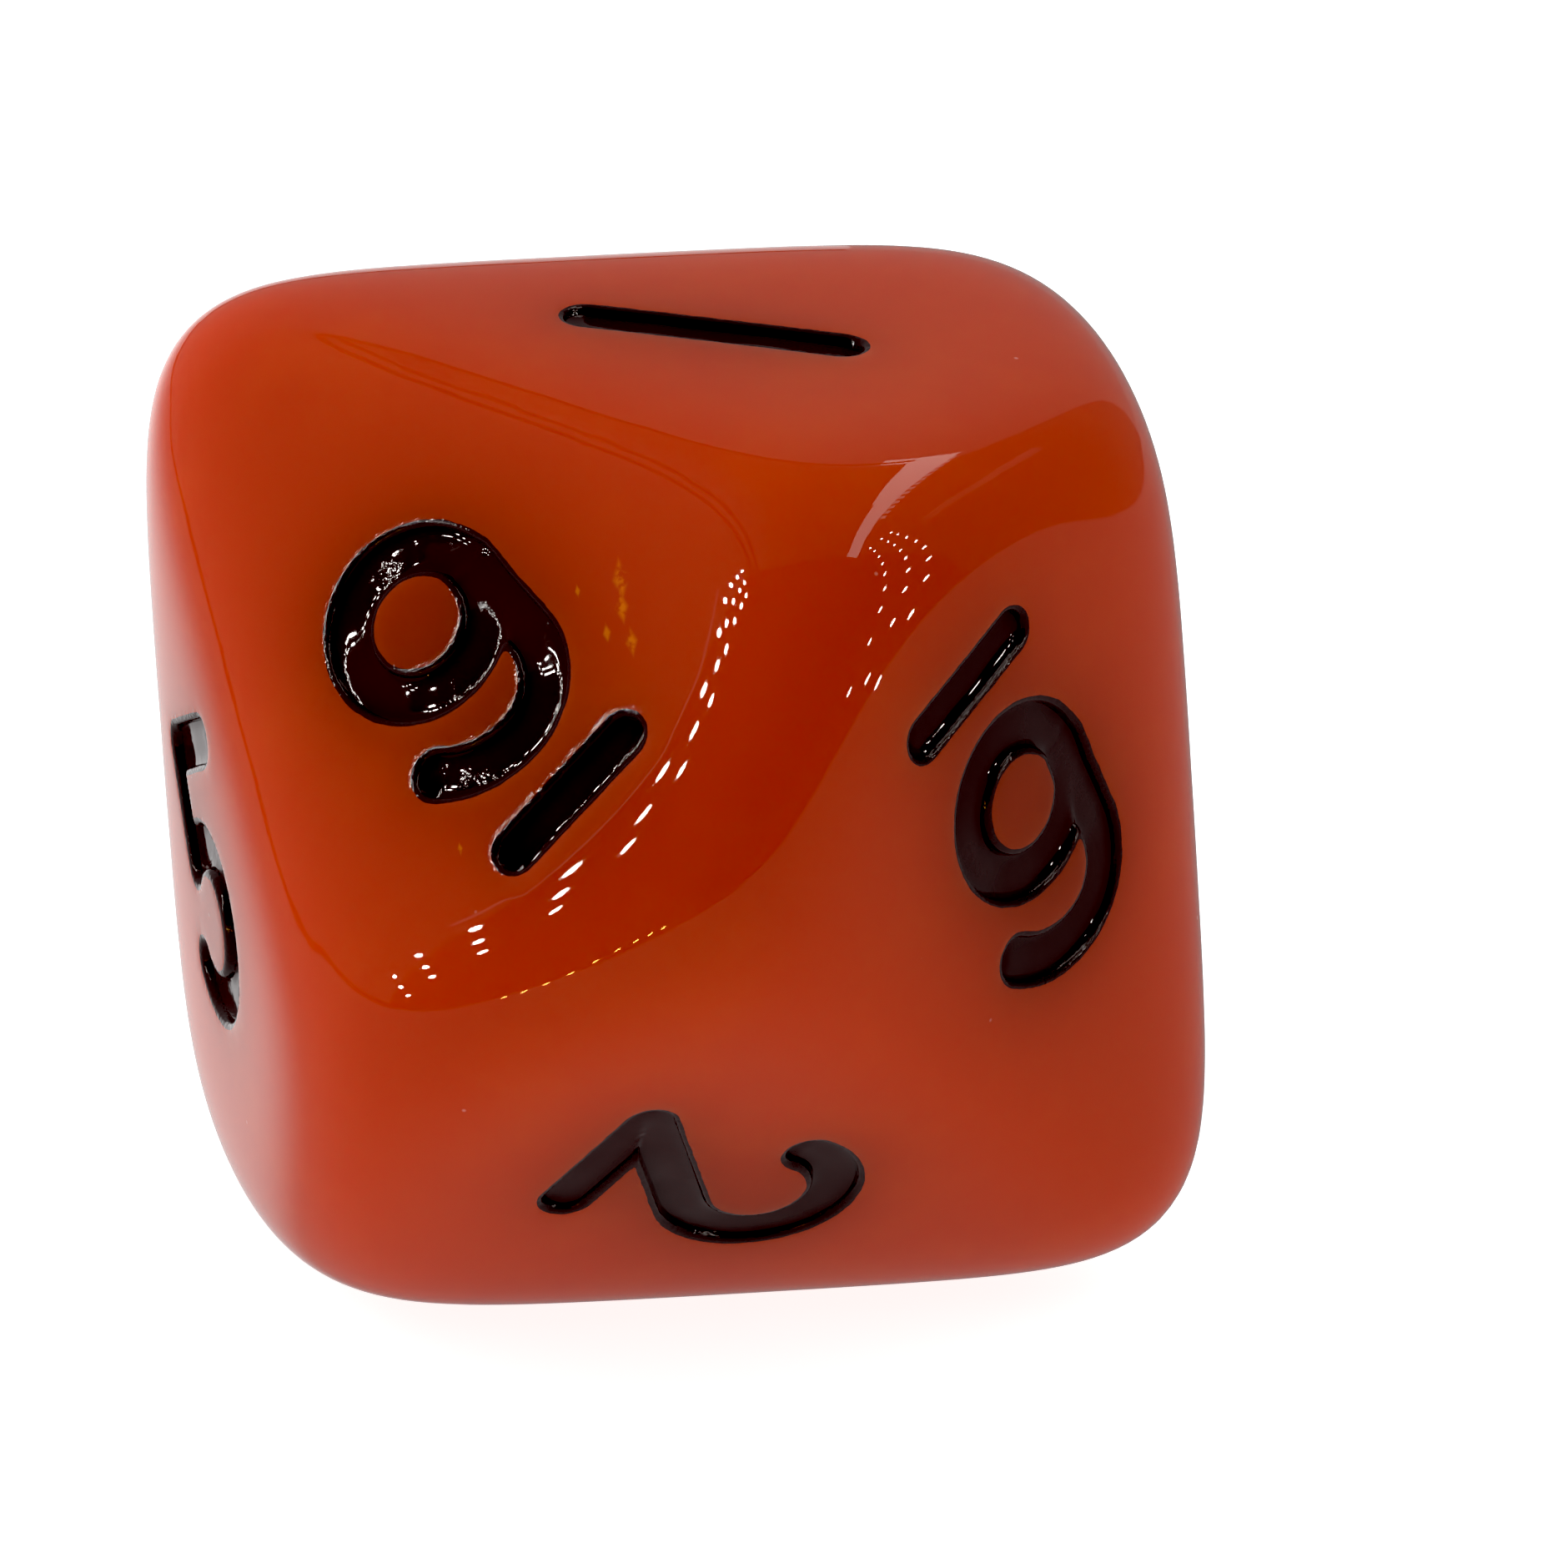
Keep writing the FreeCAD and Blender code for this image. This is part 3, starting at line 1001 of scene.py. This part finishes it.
def right_lamp(row, column):
    azimuth = RIGHT_STRIPS[column] - RIGHT_SPLAY * math.exp(-row / SPLAY_ROWS)
    return strip_lamp(azimuth, RIGHT_REACH, rise_at(row, *RIGHT_RISE) - RIGHT_LAG * column)


def front_lamp(azimuth):
    rise = FRONT_RISE * (1 + math.tanh((azimuth - FRONT_STEP) / FRONT_STEP_WIDTH))
    return strip_lamp(azimuth, 1.0, rise)


def furnish_tent():
    """Strips of lamps round the tent's open front, a bar light above, and the dark rails of its frame."""
    glows = {name: glow_material(name, *look) for name, look in GLOWS.items()}
    left = [left_lamp(row, column) for row in range(LEFT_ROWS) for column in range(len(LEFT_STRIPS))]
    right = [right_lamp(row, column) for row in range(RIGHT_ROWS) for column in range(len(RIGHT_STRIPS))]
    add_lamps("left_lamps", left, LEFT_RADIUS, glows["lamp"])
    add_lamps("right_lamps", right, RIGHT_RADIUS, glows["far_lamp"])
    add_lamps("front_lamps", map(front_lamp, FRONT_LAMPS), FRONT_RADIUS, glows["gold_lamp"])
    edge = [strip_lamp(LEFT_STRIPS[0] + EDGE_SHIFT + bow(row), LEFT_REACH, rise_at(row, *LEFT_RISE))
            for row in EDGE_ROWS]
    for start, stop in zip(edge, edge[1:]):
        add_bar("strip_edge", start, stop, EDGE_WIDTH, glows["faint_light"])
    for name, start, stop, width, glow in CEILING_BARS:
        add_bar(name, (*start, 1), (*stop, 1), width, glows[glow])
    for back in BAR_CELLS:
        start, stop = (CELL_LEFT, back, 1), (CELL_RIGHT, back + CELL_SLANT, 1)
        add_bar("bar_cell", start, stop, CELL_WIDTH, glows["dim_light"])


# The floor's rim as reflections show it: azimuth from the tent's front and height, in degrees.
FLOOR_RIM = ((-180, 0), (-130, -3), (-117, -9), (-103, -6), (-85, 1), (-40, 1), (0, 4), (75, 6),
             (95, 4), (112, -3), (150, -5), (180, 0))
RIM_SPAN = 40              # of the heights that the rim's curve can reach, in degrees
RIM_BLUR = 0.6
SEAM = (0.3, 1.4)          # half widths of the dark seam along the rim, in degrees
SEAM_END = (-60, -40)      # azimuths where it fades
WALL_GLOW = 0.25
LEFT_GLOW = 0.2            # of the sides
RIGHT_GLOW = 0.1
SIDE_SPAN = (-0.5, -0.2)   # from across here to here one side's glow gives way to the other's
FRONT_GLOW = 0.01
BEHIND_LEFT = (-118, -116)                 # azimuths where the back wall's light ends
BEHIND_RIGHT = (80, 82)
OPENING_SIDE = -0.42       # slopes of the edges of the tent's open front
OPENING_TOP = 0.28
EDGE_BLUR = 0.01
FLOOR_GLOW = 0.3
POOL_GLOW = 0.9            # of the bright pool on the floor at the left of the back
POOL_AZIMUTH = (-160, 40)  # its middle and reach
POOL_HEIGHT = (-16, 27)
# The even light: strength, and where it comes from as middle and reach or as start and full.
EVEN_LIGHT = 0.06
LEFT_LIGHT = 2.4
LEFT_LIGHT_AZIMUTH = (-107, 58)
RIGHT_LIGHT = 1.0
RIGHT_LIGHT_AZIMUTH = (90, 38)
TOP_LIGHT = 0.6
TOP_LIGHT_HEIGHT = (30, 70)
BACK_LIGHT = 0.5
BACK_LIGHT_SPAN = (0.2, 0.7)
BACKDROP = 1.1             # the white that the camera sees behind the floor


def tent_walls(graph, across, back, height, azimuth):
    """Brightness of the tent's back wall, its sides and its open front."""
    ceiling = graph.ramp(graph.math("MULTIPLY_ADD", height, -BACK_WALL, back), -EDGE_BLUR / 2, EDGE_BLUR / 2)
    leftwards = graph.math("MULTIPLY", across, -1.0)
    inside = graph.math("MULTIPLY_ADD", back, BACK_WALL_RIGHT / BACK_WALL, leftwards)
    inside = graph.ramp(inside, -EDGE_BLUR, EDGE_BLUR)
    behind_left = graph.ramp(azimuth, *BEHIND_LEFT, 1.0, 0.0)
    behind = graph.math("MAXIMUM", behind_left, graph.ramp(azimuth, *BEHIND_RIGHT))
    wall = graph.math("MULTIPLY", graph.math("MULTIPLY", ceiling, behind), inside)
    side_edge = graph.math("MULTIPLY", across, OPENING_SIDE)
    top_edge = graph.math("MULTIPLY", height, OPENING_TOP)
    opening = graph.math("ADD", back, graph.math("MAXIMUM", side_edge, top_edge))
    opening = graph.ramp(opening, -EDGE_BLUR, EDGE_BLUR)
    side = graph.math("MULTIPLY", opening, graph.ramp(across, *SIDE_SPAN, LEFT_GLOW, RIGHT_GLOW))
    return graph.mix_value(wall, graph.math("ADD", side, FRONT_GLOW), WALL_GLOW)


def tent_reflection(graph, walls, azimuth, elevation):
    """The walls' brightness with the glowing floor under them, and a dark seam where they meet."""
    place = graph.math("MULTIPLY_ADD", azimuth, 1 / 360, 0.5)
    rim = graph.add("ShaderNodeFloatCurve", Factor=1.0, Value=place)
    set_curve(rim, [(around / 360 + 0.5, above / RIM_SPAN + 0.5) for around, above in FLOOR_RIM])
    horizon = graph.math("MULTIPLY_ADD", rim.outputs[0], RIM_SPAN, -RIM_SPAN / 2)
    over = graph.math("SUBTRACT", elevation, horizon)
    floor = graph.ramp(over, -RIM_BLUR, RIM_BLUR, 1.0, 0.0)
    seam = graph.ramp(graph.math("ABSOLUTE", over), *SEAM)
    seam = graph.math("MAXIMUM", seam, graph.ramp(azimuth, *SEAM_END))
    pool = graph.math("MULTIPLY", graph.bump(azimuth, *POOL_AZIMUTH), graph.bump(elevation, *POOL_HEIGHT))
    ground = graph.math("MULTIPLY_ADD", pool, POOL_GLOW, FLOOR_GLOW)
    return graph.math("MULTIPLY", graph.mix_value(floor, walls, ground), seam)


def even_light(graph, back, azimuth, elevation):
    """Strength of the soft light that colours the die, by where it comes from."""
    lit = graph.math("MULTIPLY_ADD", graph.bump(azimuth, *LEFT_LIGHT_AZIMUTH), LEFT_LIGHT, EVEN_LIGHT)
    lit = graph.math("MULTIPLY_ADD", graph.bump(azimuth, *RIGHT_LIGHT_AZIMUTH), RIGHT_LIGHT, lit)
    lit = graph.math("MULTIPLY_ADD", graph.ramp(elevation, *TOP_LIGHT_HEIGHT), TOP_LIGHT, lit)
    return graph.math("MULTIPLY_ADD", graph.ramp(back, *BACK_LIGHT_SPAN), BACK_LIGHT, lit)


def light_room():
    """The tent as reflections see it, its even light, and a white backdrop for the camera."""
    world = bpy.data.worlds.new("studio")
    bpy.context.scene.world = world
    graph = Graph(world)
    turned = graph.add(
        "ShaderNodeVectorRotate",
        {"rotation_type": "Z_AXIS"},
        Vector=graph.add("ShaderNodeTexCoord").outputs["Generated"],
        Angle=-math.radians(TENT_TURN),
    )
    across, back, height = graph.add("ShaderNodeSeparateXYZ", Vector=turned.outputs[0]).outputs
    elevation = graph.math("DEGREES", graph.math("ARCSINE", height))
    frontwards = graph.math("MULTIPLY", back, -1.0)
    azimuth = graph.math("DEGREES", graph.math("ARCTAN2", across, frontwards))
    walls = tent_walls(graph, across, back, height, azimuth)
    reflection = tent_reflection(graph, walls, azimuth, elevation)
    lit = even_light(graph, back, azimuth, elevation)
    rays = graph.add("ShaderNodeLightPath").outputs
    strength = graph.mix_value(rays["Is Glossy Ray"], lit, reflection)
    strength = graph.mix_value(rays["Is Camera Ray"], strength, BACKDROP)
    background = graph.add("ShaderNodeBackground", Color=(1, 1, 1, 1), Strength=strength)
    graph.add("ShaderNodeOutputWorld", Surface=background.outputs[0])


def set_curve(node, points):
    """Gives a curve node its points, in rising order."""
    curve = node.mapping.curves[0]
    for point in points[1:-1]:
        curve.points.new(*point)
    curve.points[0].location = points[0]
    curve.points[-1].location = points[-1]
    node.mapping.update()


def toward(azimuth, elevation):
    """The direction at an azimuth from the front towards the right, and at a height, in degrees."""
    around, above = math.radians(azimuth), math.radians(elevation)
    return Vector((math.sin(around) * math.cos(above), -math.cos(around) * math.cos(above), math.sin(above)))


VIEW_AZIMUTH = 11.732      # degrees
VIEW_ELEVATION = 23.823
VIEW_ROLL = 2.18
VIEW_DISTANCE = 379.9
VIEW_LENS = 537.5
SENSOR = 36
AIM_RIGHT = 0.004593       # the die sits a little left of the picture's middle
AIM_DOWN = 0.000445


def add_camera():
    """A long lens from the front, a little right and above, tilted by a small roll."""
    data = bpy.data.cameras.new("camera")
    data.lens = VIEW_LENS
    data.sensor_width = SENSOR
    camera = bpy.data.objects.new("camera", data)
    bpy.context.scene.collection.objects.link(camera)
    back = toward(VIEW_AZIMUTH, VIEW_ELEVATION)
    level = Vector((0, 0, 1)).cross(back).normalized()
    lean = Matrix.Rotation(math.radians(VIEW_ROLL), 3, back)
    right = lean @ level
    up = back.cross(right)
    middle = Vector(CENTRE * MM)
    axis = (back - right * AIM_RIGHT + up * AIM_DOWN).normalized()
    right = up.cross(axis).normalized()
    up = axis.cross(right)
    turn = Matrix((right, up, axis)).transposed().to_4x4()
    camera.matrix_world = Matrix.Translation(middle + back * VIEW_DISTANCE * MM) @ turn
    bpy.context.scene.camera = camera


BLACK_LEVEL = 0.02         # linear values up to this turn black


def develop_picture():
    """Plain colours with the deepest shades pressed to black."""
    view = bpy.context.scene.view_settings
    view.view_transform = "Standard"
    view.use_curve_mapping = True
    view.curve_mapping.black_level = (BLACK_LEVEL,) * 3
    view.curve_mapping.update()


# ---------------------------------------------------------------- the scene
def build_die():
    """The body and its paint, each with its material and its place in the frame."""
    resin = resin_material()
    enamel = paint_material()
    flats = {numeral: flat_mesh(numeral) for numeral in ORDER}
    body = build_body(flats)
    body.data.materials.append(resin)
    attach(body, "root")
    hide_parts("die_body")
    for numeral, (flat, triangles, sides, marks) in flats.items():
        for mark, beyond in zip(marks, sides):
            paint = build_paint(numeral, flat, triangles, beyond, mark)
            paint.data.materials.append(enamel)
            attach(paint, "root")
            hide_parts(mark[0])


build_die()
add_floor()
furnish_tent()
light_room()
add_camera()
develop_picture()
bpy.context.scene.cycles.use_denoising = True
